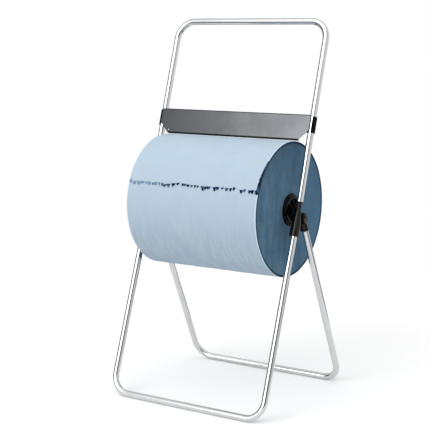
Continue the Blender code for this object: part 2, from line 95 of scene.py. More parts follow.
# -------- sizes of the details
HANDLE_SEAT = 0.024      # where the handle's tube ends, over its spigot
FRONT_SEAT = 0.020       # where the front leg's tube begins, in its sleeve
REAR_SEAT = 0.018
SPIGOT_RADIUS = 0.0061
SPIGOT_LENGTH = 0.050
SPIGOT_ROOT = 0.003      # how far the spigot starts inside the sleeve
SOCKET_RADIUS = 0.0084
SLEEVE_TOP = 0.0040      # along the front leg, from the axle's level
SLEEVE_BOTTOM = -0.060
SOCKET_TOP = -0.014      # along the rear leg, from the pivot
SOCKET_BOTTOM = -0.0385
BOLT_RADIUS = 0.0029
BOLT_HOLE = 0.0033
BOLT_CHAMFER = 0.0006
BOLT_PLAIN = 8           # pitches of the shank that have no thread
NUT_RADIUS = 0.0058
NUT_HEIGHT = 0.0046
PITCH = 0.0007           # of every thread
EYE_INNER = 0.0042       # across, from the centre of the front sleeve
EYE_OUTER = 0.0120
TONGUE_INNER = -0.0036
TONGUE_OUTER = 0.0038
TONGUE_RADIUS = 0.0085
TONGUE_LENGTH = 0.015
EYE_RADIUS = 0.0090
EYE_LENGTH = 0.017
CRADLE_INNER = 0.1966
CRADLE_OUTER = 0.2042
CRADLE_RADIUS = 0.0105
CRADLE_TOP = 0.0115      # above the axle
CRADLE_SLOT = 0.0055     # half the width of the slot that the axle drops into
WEB_START = 0.0090       # web from the cradle back to the sleeve, from the axle
WEB_LENGTH = 0.0115
WEB_ABOVE = 0.0050
WEB_BELOW = 0.0065
ROD_RADIUS = 0.0050
ROD_HALF = 0.2036
WASHER_RADIUS = 0.0100
CORE_RADIUS = 0.0370
CORE_BORE = 0.0340
PLUG_HUB = 0.0115
PLUG_BORE = 0.0054
PLUG_DEPTH = 0.0300      # of the barrel inside the core
PLUG_WALL = 0.0030
PLUG_RIBS = 8
RIB_START = 0.0112       # from the axle
RIB_END = 0.0280
RIB_ROOT = 0.0036        # out from the roll's end
RIB_THICKNESS = 0.0018
FLANGE_RADIUS = 0.0395
BAR_LOW, BAR_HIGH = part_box("tear_bar")
BAR_FRONT = 0.0113       # in front of the handle's tubes
BAR_FLANGE = 0.0085
BAR_SHEET = 0.0012
BAR_BEND = 0.0030
BAR_HEIGHT = 0.0635
BAR_BOTTOM = (BAR_LOW.z - START.z - HANDLE_FRONT.z * (BAR_FRONT - BAR_FLANGE)) / HANDLE_UP.z
BAR_TOP = BAR_BOTTOM + BAR_HEIGHT
CORNER_CUT = 0.025
TOP_FLANGE_HALF = 0.1880
HANGING_HOLE = 0.0018    # radius of the small hole in the lower left corner
HANGING_HEIGHT = 0.0085
CLIP_LENGTH = 0.0395
CLIP_DROP = 0.0032
CLIP_BORE = 0.0084
CLIP_WALL = 0.0016
CLIP_INNER_END = 0.0240
CLIP_FOOT = 0.0025
CLIP_LIP = math.radians(18.6)
STUD_RADIUS = 0.0020
STUD_LENGTH = 0.0105
CLIP_NUT_RADIUS = 0.0040
CLIP_NUT_HEIGHT = 0.0032
STUD_INSET = 0.0175
STUD_SPACING = 0.024
GAP = 0.0003             # between pieces that would otherwise share a face
CUT = 0.01               # how far a cutter stands past what it cuts

TEAR_ANGLE = math.radians(22)     # the outer sheet's torn edge, above the horizontal at the front
SHEET_STEP = 0.0006               # how far the skin steps in, under the torn edge
SKIN_DEPTH = 0.0007               # room for the skin's slack and creases within the roll's radius
RIM_ROUND = 0.0010                # the rounding of the skin at its two ends
TAB_LIMIT = ROLL_RADIUS - 0.0002  # no torn tab stands higher, so that all pass under the bar


# -------- shapes

def placed(origin, x_axis, y_axis, z_axis):
    turned = Matrix((x_axis, y_axis, z_axis)).transposed().to_4x4()
    return Matrix.Translation(origin) @ turned


def pointing(origin, z_axis):
    """A place whose +Z runs along z_axis."""
    z_axis = Vector(z_axis).normalized()
    x_axis = Vector((0, 0, -z_axis.x)) if abs(z_axis.x) > 0.5 else ACROSS
    return placed(origin, x_axis, z_axis.cross(x_axis), z_axis)


def mesh_object(name, verts, faces, place=None):
    mesh = bpy.data.meshes.new(name)
    mesh.from_pydata([tuple(v) for v in verts], [], faces)
    if place is not None:
        mesh.transform(place)
    bm = bmesh.new()
    bm.from_mesh(mesh)
    bmesh.ops.recalc_face_normals(bm, faces=bm.faces)
    bm.to_mesh(mesh)
    bm.free()
    obj = bpy.data.objects.new(name, mesh)
    bpy.context.scene.collection.objects.link(obj)
    return obj


def settled(obj):
    """Bakes obj's modifiers into its mesh, and removes the helpers that they used."""
    helpers = [step.object for step in obj.modifiers if step.type == "BOOLEAN"]
    bpy.context.view_layer.update()
    evaluated = obj.evaluated_get(bpy.context.evaluated_depsgraph_get())
    mesh = bpy.data.meshes.new_from_object(evaluated)
    obj.modifiers.clear()
    obj.data = mesh
    for helper in helpers:
        bpy.data.objects.remove(helper)
    return obj


def combined(obj, others, operation="UNION"):
    """Joins others to obj, or cuts them from it. The others are used up."""
    for other in others:
        step = obj.modifiers.new(other.name, "BOOLEAN")
        step.operation = operation
        step.object = other
    settled(obj)


def rounded_line(points, radius, steps=4, closed=True):
    """The outline with its corners rounded, by one radius or by one for each corner.

    A corner takes no more than 45% of its shorter side."""
    made = []
    count = len(points)
    radii = radius if isinstance(radius, tuple) else (radius,) * count
    for i, point in enumerate(points):
        if not closed and i in (0, count - 1):
            made.append(tuple(point))
            continue
        here = Vector(point)
        before = Vector(points[i - 1]) - here
        after = Vector(points[(i + 1) % count]) - here
        turn = math.pi - before.angle(after)
        if turn < math.radians(8):
            made.append(tuple(point))
            continue
        reach = min(radii[i] * math.tan(turn / 2), 0.45 * before.length, 0.45 * after.length)
        start = here + before.normalized() * reach
        end = here + after.normalized() * reach
        for k in range(steps + 1):
            t = k / steps
            made.append(tuple(start * (1 - t) ** 2 + here * 2 * t * (1 - t) + end * t ** 2))
    return made


def grid_faces(rows, columns):
    """The faces of a grid of points that is kept row by row."""
    faces = []
    row = columns + 1
    for i in range(rows):
        for j in range(columns):
            faces.append([i * row + j, i * row + j + 1, (i + 1) * row + j + 1, (i + 1) * row + j])
    return faces


def ring_faces(first, second):
    """The faces between two closed rings of points."""
    count = len(first)
    return [[first[i], first[(i + 1) % count], second[(i + 1) % count], second[i]] for i in range(count)]


def arc(centre, radius, start, end, steps):
    angles = [start + (end - start) * i / steps for i in range(steps + 1)]
    return [(centre[0] + radius * math.cos(a), centre[1] + radius * math.sin(a)) for a in angles]


def lathe(name, profile, place, steps=64):
    """A solid of revolution about +Z from (radius, height) points. A first radius of 0 closes it."""
    on_axis = profile[0][0] == 0
    verts = []
    rings = []
    for radius, height in profile:
        if radius == 0:
            rings.append([len(verts)] * steps)
            verts.append((0, 0, height))
            continue
        rings.append(list(range(len(verts), len(verts) + steps)))
        for i in range(steps):
            angle = 2 * math.pi * i / steps
            verts.append((radius * math.cos(angle), radius * math.sin(angle), height))
    pairs = list(zip(rings, rings[1:]))
    if not on_axis:
        pairs.append((rings[-1], rings[0]))
    faces = []
    for upper, lower in pairs:
        for i in range(steps):
            j = (i + 1) % steps
            corners = [upper[i], upper[j], lower[j], lower[i]]
            face = [c for k, c in enumerate(corners) if c not in corners[:k]]
            if len(face) > 2:
                faces.append(face)
    return mesh_object(name, verts, faces, place)


def prism(name, outline, thickness, place):
    """A flat piece: an outline in its own XY plane, with the thickness shared on both sides of it."""
    count = len(outline)
    half = thickness / 2
    verts = [(x, y, -half) for x, y in outline] + [(x, y, half) for x, y in outline]
    faces = [list(range(count)), list(range(count, 2 * count))]
    faces += [[i, (i + 1) % count, count + (i + 1) % count, count + i] for i in range(count)]
    return mesh_object(name, verts, faces, place)


def upright(name, outline, side, inner, outer):
    """A prism whose outline lies in the world's YZ plane, between two distances from the middle."""
    place = placed((side * (inner + outer) / 2, 0, 0), (0, 1, 0), (0, 0, 1), (1, 0, 0))
    return prism(name, outline, outer - inner, place)


def rod(name, radius, start, end, steps=48):
    axis = Vector(end) - Vector(start)
    profile = [(0, axis.length), (radius, axis.length), (radius, 0), (0, 0)]
    return lathe(name, profile, pointing(Vector(start), axis), steps)


def bevelled(obj, width, segments=3, angle=35):
    step = obj.modifiers.new("edges", "BEVEL")
    step.width = width
    step.segments = segments
    step.limit_method = "ANGLE"
    step.angle_limit = math.radians(angle)
    step.use_clamp_overlap = True
    return settled(obj)


def moulded(obj):
    """Melts joined solids into one skin with soft inner corners, as a moulded piece has."""
    skin = obj.modifiers.new("skin", "REMESH")
    skin.mode = "VOXEL"
    skin.voxel_size = 0.0004
    soften = obj.modifiers.new("soften", "SMOOTH")
    soften.factor = 0.5
    soften.iterations = 8
    settled(obj)


def finish(obj, body, material, replaces=(), smooth=40, even=False):
    """Shades, colours and mounts a piece. Edges of more than smooth degrees stay sharp, and even keeps
    large flat faces flat beside their bevels."""
    obj.data.materials.clear()
    obj.data.materials.append(material)
    obj.data.shade_smooth()
    obj.data.set_sharp_from_angle(angle=math.radians(smooth))
    if even:
        obj.modifiers.new("normals", "WEIGHTED_NORMAL").keep_sharp = True
    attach(obj, body)
    if replaces:
        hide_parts(*replaces)


# -------- materials

MIX_COLOURS = (6, 7)     # the Mix node's two colour inputs, whose names its other inputs share
MIX_RESULT = 2           # its colour output


def new_material(name, constants):
    """A material, its tree and its shader, whose constant inputs are set."""
    made = bpy.data.materials.new(name)
    made.use_nodes = True
    shader = made.node_tree.nodes["Principled BSDF"]
    for key, value in constants.items():
        shader.inputs[key].default_value = value
    return made, made.node_tree, shader


def connect(tree, shader, colour, normal, roughness=None):
    """Gives the shader its colour, its normal and, where that varies, its roughness."""
    tree.links.new(colour, shader.inputs["Base Color"])
    tree.links.new(normal, shader.inputs["Normal"])
    if roughness is not None:
        tree.links.new(roughness, shader.inputs["Roughness"])


def node(tree, kind, **settings):
    """A node with its inputs and properties set by name."""
    made = tree.nodes.new("ShaderNode" + kind)
    for key, value in settings.items():
        if isinstance(value, bpy.types.NodeSocket):
            tree.links.new(value, made.inputs[key])
        elif key in made.inputs:
            made.inputs[key].default_value = value
        else:
            setattr(made, key, value)
    return made


def place_in(tree, scale=(1, 1, 1)):
    """The point's place on the resting object, in metres, stretched by scale."""
    where = node(tree, "TexCoord").outputs["Object"]
    return node(tree, "Mapping", Vector=where, Scale=scale).outputs["Vector"]


def place_along(tree, axis):
    """The point's place along X, Y or Z, in metres."""
    return node(tree, "SeparateXYZ", Vector=place_in(tree)).outputs[axis]


def vector_math(tree, operation, first, second=None, output="Value"):
    made = node(tree, "VectorMath", operation=operation)
    tree.links.new(first, made.inputs[0])
    if second is not None:
        made.inputs[1].default_value = second
    return made.outputs[output]


def spread(tree, value, low, high, start=0.3, end=0.7):
    """Carries a pattern's value from the range start to end over to the range low to high."""
    made = node(tree, "MapRange", Value=value)
    for key, number in (("From Min", start), ("From Max", end), ("To Min", low), ("To Max", high)):
        made.inputs[key].default_value = number
    return made.outputs["Result"]


def noise_at(tree, vector, scale, detail=3.0, roughness=0.55):
    made = node(tree, "TexNoise", Vector=vector, Scale=scale, Detail=detail, Roughness=roughness)
    return made.outputs["Fac"]


def blended(tree, factor, first, second):
    """The colour first where factor is 0, and second where it is 1."""
    made = node(tree, "Mix", data_type="RGBA")
    tree.links.new(factor, made.inputs["Factor"])
    for index, value in zip(MIX_COLOURS, (first, second)):
        if isinstance(value, bpy.types.NodeSocket):
            tree.links.new(value, made.inputs[index])
        else:
            made.inputs[index].default_value = (*value, 1)
    return made.outputs[MIX_RESULT]


def bump(tree, height, distance, strength=1.0, normal=None):
    made = node(tree, "Bump", Height=height, Strength=strength, Distance=distance)
    if normal is not None:
        tree.links.new(normal, made.inputs["Normal"])
    return made.outputs["Normal"]


def chrome_plating():
    made, tree, shader = new_material("chrome_plating", {"Metallic": 1.0})
    where = place_in(tree)
    cloud = noise_at(tree, where, 25.0)
    colour = blended(tree, spread(tree, cloud, 0, 1), (0.68, 0.69, 0.70), (0.73, 0.73, 0.74))
    haze = spread(tree, noise_at(tree, where, 180.0), 0.06, 0.13)
    ripple = bump(tree, noise_at(tree, where, 300.0, detail=2.0), 0.00002)
    connect(tree, shader, colour, ripple, haze)
    return made


def moulded_plastic(name, gloss, low, high):
    """Black plastic with a fine grain. low and high are its least and greatest roughness."""
    made, tree, shader = new_material(name, {"Specular IOR Level": gloss})
    where = place_in(tree)
    cloud = noise_at(tree, where, 90.0)
    colour = blended(tree, spread(tree, cloud, 0, 1), (0.0015, 0.0015, 0.0016), (0.0035, 0.0035, 0.0036))
    grain = bump(tree, noise_at(tree, where, 1500.0, detail=2.0), 0.00002)
    connect(tree, shader, colour, grain, spread(tree, cloud, low, high))
    return made


def sheet_steel():
    """Satin steel with lines along the bar, and painted shade: darker to its left, standing in for its
    reflection there, and dark bands at its lower and upper edges.
    """
    made, tree, shader = new_material("satin_sheet", {"Metallic": 1.0})
    lines = noise_at(tree, place_in(tree, (3, 700, 700)), 1.0, 4.0, 0.7)
    cloud = noise_at(tree, place_in(tree), 14.0)
    satin = blended(tree, spread(tree, cloud, 0, 1, 0.38, 0.62), (0.112, 0.118, 0.125), (0.140, 0.147, 0.155))
    # painted shade: the sheet grows darker towards its left, standing in for a darker reflection
    painted_left_shade = spread(tree, place_along(tree, "X"), 0.92, 0, -0.22, 0.12)
    satin = blended(tree, painted_left_shade, satin, (0.074, 0.079, 0.085))
    height = vector_math(tree, "DOT_PRODUCT", place_in(tree), HANDLE_UP)
    low = START.dot(HANDLE_UP) + BAR_BOTTOM
    high = low + BAR_HEIGHT
    # painted shade: a dark band along the lower bend, where the bar's edge rests on the roll
    painted_heel_shade = spread(tree, height, 1, 0, low + 0.0030, low + 0.0042)
    colour = blended(tree, painted_heel_shade, satin, (0.020, 0.024, 0.027))
    # painted shade: a thin dark line along the top bend
    painted_crown_shade = spread(tree, height, 0, 1, high - 0.0030, high - 0.0018)
    colour = blended(tree, painted_crown_shade, colour, (0.022, 0.020, 0.045))
    connect(tree, shader, colour, bump(tree, lines, 0.00001), spread(tree, lines, 0.13, 0.20))
    return made


def zinc_plating():
    made, tree, shader = new_material("zinc_plating", {"Metallic": 1.0})
    where = place_in(tree)
    cloud = noise_at(tree, where, 160.0, detail=4.0)
    colour = blended(tree, spread(tree, cloud, 0, 1), (0.52, 0.53, 0.56), (0.66, 0.67, 0.69))
    grain = bump(tree, noise_at(tree, where, 900.0), 0.00002)
    connect(tree, shader, colour, grain, spread(tree, cloud, 0.20, 0.34))
    return made


def black_oxide():
    made, tree, shader = new_material("black_oxide", {"Metallic": 0.8})
    cloud = noise_at(tree, place_in(tree), 400.0)
    colour = blended(tree, spread(tree, cloud, 0, 1), (0.020, 0.020, 0.022), (0.045, 0.045, 0.048))
    connect(tree, shader, colour, bump(tree, cloud, 0.00003), spread(tree, cloud, 0.28, 0.42))
    return made


def slack_folds_and_shade(tree):
    """Irregular folds round the roll, 0 to 1, which fade out above its lower half. They furrow the skin and
    also mask the painted shade there.
    """
    creased = node(tree, "TexNoise", Vector=place_in(tree, (95, 15, 15)), Scale=1.0, Detail=4.0,
                   Roughness=0.65, Distortion=1.2)
    folds = node(tree, "Math", operation="MULTIPLY")
    tree.links.new(spread(tree, creased.outputs["Fac"], 0, 1, 0.40, 0.66), folds.inputs[0])
    low = spread(tree, place_along(tree, "Z"), 1, 0, AXLE.z - 0.12, AXLE.z + 0.01)
    tree.links.new(low, folds.inputs[1])
    return folds.outputs["Value"]


def crepe_paper():
    """The roll's skin: light blue, softly mottled, with fine crepe ridges along the roll, painted shade in
    the folds of its lower half, and a painted rim, light at the front and dark behind.
    """
    made, tree, shader = new_material("crepe_paper", {"Roughness": 0.95, "Specular IOR Level": 0.15})
    cloud = noise_at(tree, place_in(tree), 26.0, 4.0)
    fibre = noise_at(tree, place_in(tree, (1, 1.6, 1.6)), 700.0, 4.0, 0.7)
    folds = slack_folds_and_shade(tree)
    tone = blended(tree, spread(tree, cloud, 0, 1), (0.440, 0.538, 0.624), (0.466, 0.564, 0.650))
    tone = blended(tree, spread(tree, fibre, 0, 0.30), tone, (0.36, 0.47, 0.59))
    # painted shade: the folds, and so the roll's lower half, are darker and bluer
    tone = blended(tree, spread(tree, folds, 0, 0.46, 0, 1), tone, (0.28, 0.385, 0.52))
    # painted highlight and shade on the rounded rim at both ends: pale at the front, where it catches the
    # light, and dark behind
    from_middle = node(tree, "Math", operation="ABSOLUTE")
    tree.links.new(place_along(tree, "X"), from_middle.inputs[0])
    rim = spread(tree, from_middle.outputs["Value"], 0, 0.8, ROLL_HALF - 0.0034, ROLL_HALF - 0.0014)
    behind = spread(tree, place_along(tree, "Y"), 0, 1, AXLE.y + 0.02, AXLE.y + 0.09)
    edge = blended(tree, behind, (0.66, 0.78, 0.88), (0.030, 0.070, 0.120))
    crepe = noise_at(tree, place_in(tree, (90, 1400, 1400)), 1.0, 3.0)
    ridges = bump(tree, crepe, 0.00010, 0.8)
    furrows = bump(tree, folds, 0.0012, 0.8, ridges)
    connect(tree, shader, blended(tree, rim, tone, edge), bump(tree, fibre, 0.00012, 0.6, furrows))
    return made


def wound_end():
    """The roll's sawn end: dark slate blue, with saw streaks, blotches and the rings of its layers, and
    painted shade at its top and round its outer rim.
    """
    made, tree, shader = new_material("wound_end", {"Roughness": 0.9, "Specular IOR Level": 0.2})
    streaks = noise_at(tree, place_in(tree, (1, 1, 0.22)), 70.0, 4.0, 0.65)
    cloud = noise_at(tree, place_in(tree, (1, 1, 0.4)), 22.0, 3.0)
    blotches = noise_at(tree, place_in(tree, (1, 1, 0.75)), 34.0, 4.0, 0.6)
    fine = noise_at(tree, place_in(tree, (1, 1, 0.5)), 900.0, 3.0, 0.7)
    tone = blended(tree, spread(tree, streaks, 0, 1), (0.066, 0.152, 0.240), (0.130, 0.248, 0.370))
    tone = blended(tree, spread(tree, cloud, 0, 0.75, 0.38, 0.68), tone, (0.040, 0.104, 0.172))
    tone = blended(tree, spread(tree, blotches, 0, 0.55, 0.50, 0.66), tone, (0.135, 0.236, 0.325))
    # painted shade: the upper part of the end is darker
    upper = spread(tree, place_along(tree, "Z"), 0, 0.45, AXLE.z + 0.06, AXLE.z + 0.15)
    tone = blended(tree, upper, tone, (0.034, 0.086, 0.145))
    rear = spread(tree, place_along(tree, "Y"), 0, 0.6, AXLE.y, AXLE.y + 0.09)
    tone = blended(tree, rear, tone, (0.062, 0.176, 0.300))
    tone = blended(tree, spread(tree, fine, 0, 0.35), tone, (0.130, 0.220, 0.310))
    centred = node(tree, "Mapping", Vector=place_in(tree), Location=(0, -AXLE.y, -AXLE.z)).outputs["Vector"]
    flat = vector_math(tree, "MULTIPLY", centred, (0, 1, 1), "Vector")
    from_axle = vector_math(tree, "LENGTH", flat)
    # painted shade: a dark ring just inside the outer rim of the end
    rim = spread(tree, from_axle, 0, 0.92, ROLL_RADIUS - 0.0090, ROLL_RADIUS - 0.0062)
    tone = blended(tree, rim, tone, (0.014, 0.042, 0.078))
    rings = node(tree, "TexWave", Vector=centred, Scale=260.0, Distortion=3.0, Detail=2.0,
                 wave_type="RINGS", rings_direction="X")
    layers = bump(tree, rings.outputs["Fac"], 0.00025, 0.6)
    connect(tree, shader, tone, bump(tree, fine, 0.0003, 0.7, layers))
    return made


def torn_paper():
    """The torn tabs, coloured navy as painted shade for their shaded undersides, with paler patches, and
    paler towards the left, where less shade is painted.
    """
    made, tree, shader = new_material("torn_paper", {"Roughness": 0.95, "Specular IOR Level": 0.1})
    fibre = noise_at(tree, place_in(tree), 420.0, 3.0)
    patches = noise_at(tree, place_in(tree), 60.0, 1.0)
    tone = blended(tree, spread(tree, fibre, 0, 1), (0.001, 0.006, 0.020), (0.006, 0.022, 0.060))
    tone = blended(tree, spread(tree, patches, 0, 0.8, 0.45, 0.62), tone, (0.055, 0.125, 0.225))
    # painted shade grows lighter towards the left
    less_painted_shade_left = spread(tree, place_along(tree, "X"), 0.70, 0, -0.105, -0.060)
    tone = blended(tree, less_painted_shade_left, tone, (0.25, 0.36, 0.50))
    connect(tree, shader, tone, bump(tree, fibre, 0.0003))
    return made


def core_board():
    made, tree, shader = new_material("core_board", {"Roughness": 0.9})
    fibre = noise_at(tree, place_in(tree, (1, 6, 6)), 120.0, 4.0, 0.7)
    colour = blended(tree, spread(tree, fibre, 0, 1), (0.27, 0.19, 0.11), (0.40, 0.30, 0.19))
    connect(tree, shader, colour, bump(tree, fibre, 0.0002))
    return made


CHROME = chrome_plating()
PLASTIC = moulded_plastic("moulded_plastic", 0.30, 0.10, 0.16)
DULL_PLASTIC = moulded_plastic("dull_plastic", 0.07, 0.12, 0.20)
SHEET = sheet_steel()
ZINC = zinc_plating()
OXIDE = black_oxide()
PAPER = crepe_paper()
PAPER_END = wound_end()
TORN = torn_paper()
BOARD = core_board()


# -------- bent tube frames

def tube_along(name, route, across):
    """A hollow tube along a flat route. across is square to the route's plane."""
    first = (route[1] - route[0]).normalized()
    last = (route[-1] - route[-2]).normalized()
    outer = [(route[0], first, TUBE - TUBE_LIP), (route[0] + first * TUBE_LIP, first, TUBE)]
    for i in range(1, len(route) - 1):
        outer.append((route[i], (route[i + 1] - route[i - 1]).normalized(), TUBE))
    outer += [(route[-1] - last * TUBE_LIP, last, TUBE), (route[-1], last, TUBE - TUBE_LIP)]
    inner = [(centre, tangent, radius - TUBE_WALL) for centre, tangent, radius in reversed(outer)]
    rings = outer + inner
    verts = []
    for centre, tangent, radius in rings:
        sideways = tangent.cross(across)
        for k in range(TUBE_SIDES):
            angle = 2 * math.pi * k / TUBE_SIDES
            verts.append(centre + (sideways * math.cos(angle) + across * math.sin(angle)) * radius)
    faces = []
    for i in range(len(rings)):
        j = (i + 1) % len(rings)
        near = list(range(i * TUBE_SIDES, (i + 1) * TUBE_SIDES))
        far = list(range(j * TUBE_SIDES, (j + 1) * TUBE_SIDES))
        faces += ring_faces(near, far)
    return mesh_object(name, verts, faces)


def bent_route(half, start, direction, first, last):
    """The centre line of a U: in at one side from first to last along direction, across, and back."""
    steps = 20
    inner = half - BEND
    corner = last - BEND
    line = [(-half, first)]
    line += arc((-inner, corner), BEND, math.pi, math.pi / 2, steps)
    line += arc((inner, corner), BEND, math.pi / 2, 0, steps)
    line += [(half, first)]
    return [start + ACROSS * x + direction * along for x, along in line]


def build_frame(name, stands_for, body, half, start, direction, first, last):
    route = bent_route(half, start, direction, first, last)
    tube = tube_along(name, route, ACROSS.cross(direction))
    finish(tube, body, CHROME, [stands_for])


def build_frames():
    build_frame("handle_tube", "handle_frame", "stand",
                HALF_WIDTH, START, HANDLE_UP, HANDLE_SEAT, HANDLE_LENGTH)
    build_frame("front_legs_tube", "front_leg_frame", "stand",
                HALF_WIDTH, START, FRONT_DOWN, FRONT_SEAT, FRONT_LENGTH)
    build_frame("rear_legs_tube", "rear_leg_frame", "rear_frame",
                REAR_HALF_WIDTH, PIVOT, REAR_DOWN, REAR_SEAT, REAR_LENGTH)


# -------- connectors, sockets and pivots

def arm_outline(centre, radius, towards, length):
    """A round-ended arm in the YZ plane: a half circle at its centre, and straight on by length."""
    angle = math.atan2(towards.z, towards.y)
    end = arc((centre.y, centre.z), radius, angle + math.pi / 2, angle + math.pi * 1.5, 24)
    reach = Vector((towards.y, towards.z)) * length
    return end + [(end[-1][0] + reach.x, end[-1][1] + reach.y), (end[0][0] + reach.x, end[0][1] + reach.y)]


def pivot_hole(side):
    """A cutter for the bolt's hole, longer than any piece that it goes through."""
    inner = PIVOT + ACROSS * side * (HALF_WIDTH - 2 * CUT)
    return rod("hole", BOLT_HOLE, inner, inner + ACROSS * side * 4.5 * CUT)


def sleeve_profile():
    """The front sleeve, down from its shoulder past a groove near its mouth, and up inside its socket."""
    return [
        (0, SLEEVE_TOP), (0.0064, SLEEVE_TOP), (0.0078, SLEEVE_TOP - 0.0014), (0.0085, -0.006),
        (0.0095, -0.014), (0.0103, -0.020), (0.0114, -0.030), (0.0120, -0.041), (0.0121, -0.048),
        (0.0121, SLEEVE_BOTTOM + 0.0040), (0.0118, SLEEVE_BOTTOM + 0.0034), (0.0121, SLEEVE_BOTTOM + 0.0028),
        (0.0121, SLEEVE_BOTTOM + 0.0008), (0.0114, SLEEVE_BOTTOM), (SOCKET_RADIUS, SLEEVE_BOTTOM),
        (SOCKET_RADIUS, -FRONT_SEAT + GAP), (0, -FRONT_SEAT + GAP),
    ]


def cradle_outline():
    """A cup round the axle, flat at its top."""
    top = [(AXLE.y + CRADLE_RADIUS, AXLE.z + CRADLE_TOP), (AXLE.y - CRADLE_RADIUS, AXLE.z + CRADLE_TOP)]
    return arc((AXLE.y, AXLE.z), CRADLE_RADIUS, -math.pi, 0, 28) + top


def axle_slot():
    """A cutter for the cradle's slot, open at the top."""
    top = AXLE.z + 2 * CUT
    return arc((AXLE.y, AXLE.z), CRADLE_SLOT, -math.pi, 0, 28) + [
        (AXLE.y + CRADLE_SLOT, top), (AXLE.y - CRADLE_SLOT, top)]


def build_connector(word, side):
    """The sleeve and its spigot, with the pivot's tongue, and the cradle on its web."""
    start = START + ACROSS * side * HALF_WIDTH
    body = lathe("connector_body_" + word, sleeve_profile(), pointing(start, -FRONT_DOWN), 72)
    seat = start + HANDLE_UP * (HANDLE_SEAT - GAP)
    collar = [(0, 0), (0.0072, 0), (0.0076, -0.0004), (0.0076, -0.0022), (0.0070, -0.0032), (0, -0.0032)]
    tongue = arm_outline(PIVOT, TONGUE_RADIUS, FRONT_SQUARE, TONGUE_LENGTH)
    near = AXLE.y - WEB_START
    far = near - WEB_LENGTH
    web = rounded_line([(near, AXLE.z + WEB_ABOVE), (far, AXLE.z + WEB_ABOVE),
                        (far, AXLE.z - WEB_BELOW), (near, AXLE.z - WEB_BELOW)], 0.0015)
    combined(body, [
        rod("neck", SPIGOT_RADIUS, start - HANDLE_UP * SPIGOT_ROOT, start + HANDLE_UP * SPIGOT_LENGTH),
        lathe("collar", collar, pointing(seat, HANDLE_UP)),
        upright("tongue", tongue, side, HALF_WIDTH + TONGUE_INNER, HALF_WIDTH + TONGUE_OUTER),
        upright("cradle", cradle_outline(), side, CRADLE_INNER, CRADLE_OUTER),
        upright("web", web, side, CRADLE_INNER, HALF_WIDTH - 0.004),
    ])
    slot = upright("slot", axle_slot(), side, CRADLE_INNER - 0.0020, CRADLE_OUTER + 0.0004)
    combined(body, [slot, pivot_hole(side)], "DIFFERENCE")
    moulded(body)
    finish(body, "stand", PLASTIC, ["connector_" + word], 60)


def socket_profile():
    """The rear socket, down from its closed top to a thicker mouth, and up again inside."""
    return [
        (0, SOCKET_TOP), (0.0086, SOCKET_TOP), (0.0092, SOCKET_TOP - 0.0014), (0.0095, -0.0240),
        (0.0100, SOCKET_BOTTOM + 0.0070), (0.0107, SOCKET_BOTTOM + 0.0046), (0.0107, SOCKET_BOTTOM + 0.0008),
        (0.0099, SOCKET_BOTTOM), (SOCKET_RADIUS, SOCKET_BOTTOM),
        (SOCKET_RADIUS, -REAR_SEAT + GAP), (0, -REAR_SEAT + GAP),
    ]


def build_socket(word, side):
    place = pointing(PIVOT + ACROSS * side * REAR_HALF_WIDTH, -REAR_DOWN)
    body = lathe("rear_socket_body_" + word, socket_profile(), place, 72)
    eye = arm_outline(PIVOT, EYE_RADIUS, REAR_DOWN, EYE_LENGTH)
    combined(body, [upright("eye", eye, side, HALF_WIDTH + EYE_INNER, HALF_WIDTH + EYE_OUTER)])
    combined(body, [pivot_hole(side)], "DIFFERENCE")
    moulded(body)
    finish(body, "rear_frame", PLASTIC, ["rear_socket_" + word], 60)


def hex_outline(radius):
    return arc((0, 0), radius, 0, 2 * math.pi * 5 / 6, 5)


def build_bolt(word, side):
    """A domed head with a hexagon recess, and a shank whose thread ends inside the nut."""
    outward = ACROSS * side
    base = PIVOT + outward * (HALF_WIDTH + EYE_OUTER + GAP)
    tip = TONGUE_INNER - GAP - NUT_HEIGHT - BOLT_CHAMFER - EYE_OUTER - GAP
    head = rounded_line([(0, 0.0026), (0.0030, 0.0024), (0.0048, 0.0016), (0.0056, 0.0004), (0.0054, 0)],
                        0.001, 4, False)
    shank = [(BOLT_RADIUS, 0)]
    turns = int(-tip / PITCH) - BOLT_PLAIN
    for i in range(turns):
        middle = tip + BOLT_CHAMFER + PITCH * (turns - i)
        shank += [(BOLT_RADIUS, middle), (BOLT_RADIUS - 0.0002, middle - PITCH / 2)]
    shank += [(BOLT_RADIUS, tip + 0.0005), (BOLT_RADIUS - 0.0005, tip), (0, tip)]
    bolt = lathe("pivot_bolt_head_" + word, head + shank, pointing(base, outward), 64)
    recess = prism("recess", hex_outline(0.0020), 0.0040, pointing(base + outward * 0.0030, outward))
    combined(bolt, [recess], "DIFFERENCE")
    finish(bolt, "stand", OXIDE, ["pivot_bolt_" + word], 30)


def thread_profile(bore, thickness):
    """A cutter for a nut's bore, wider at both mouths, with a few turns of thread between them."""
    mouth = bore + 0.0003
    crest = 0.00012
    profile = [(0, thickness + 0.0010), (mouth, thickness + 0.0010), (mouth, thickness - 0.0002)]
    turns = max(2, int(thickness / PITCH))
    for i in range(turns):
        height = thickness - 0.0004 - (thickness - 0.0008) * i / (turns - 1)
        profile += [(bore, height + crest), (bore + 0.0002, height - crest)]
    return profile + [(mouth, 0.0001), (mouth, -0.0010), (0, -0.0010)]


def build_nut(name, face, direction, radius, bore, thickness, body, stands_for):
    """A hexagon nut with its corners turned off."""
    nut = prism(name, hex_outline(radius), thickness, pointing(face + direction * thickness / 2, direction))
    flat = radius * math.cos(math.pi / 6)
    edge = (radius - flat) * 0.6
    dome = [(0, thickness), (flat, thickness), (radius, thickness - edge), (radius, edge), (flat, 0), (0, 0)]
    combined(nut, [lathe("dome", dome, pointing(face, direction))], "INTERSECT")
    thread = lathe("thread", thread_profile(bore, thickness), pointing(face, direction), 32)
    combined(nut, [thread], "DIFFERENCE")
    finish(nut, body, ZINC, [stands_for], 25)


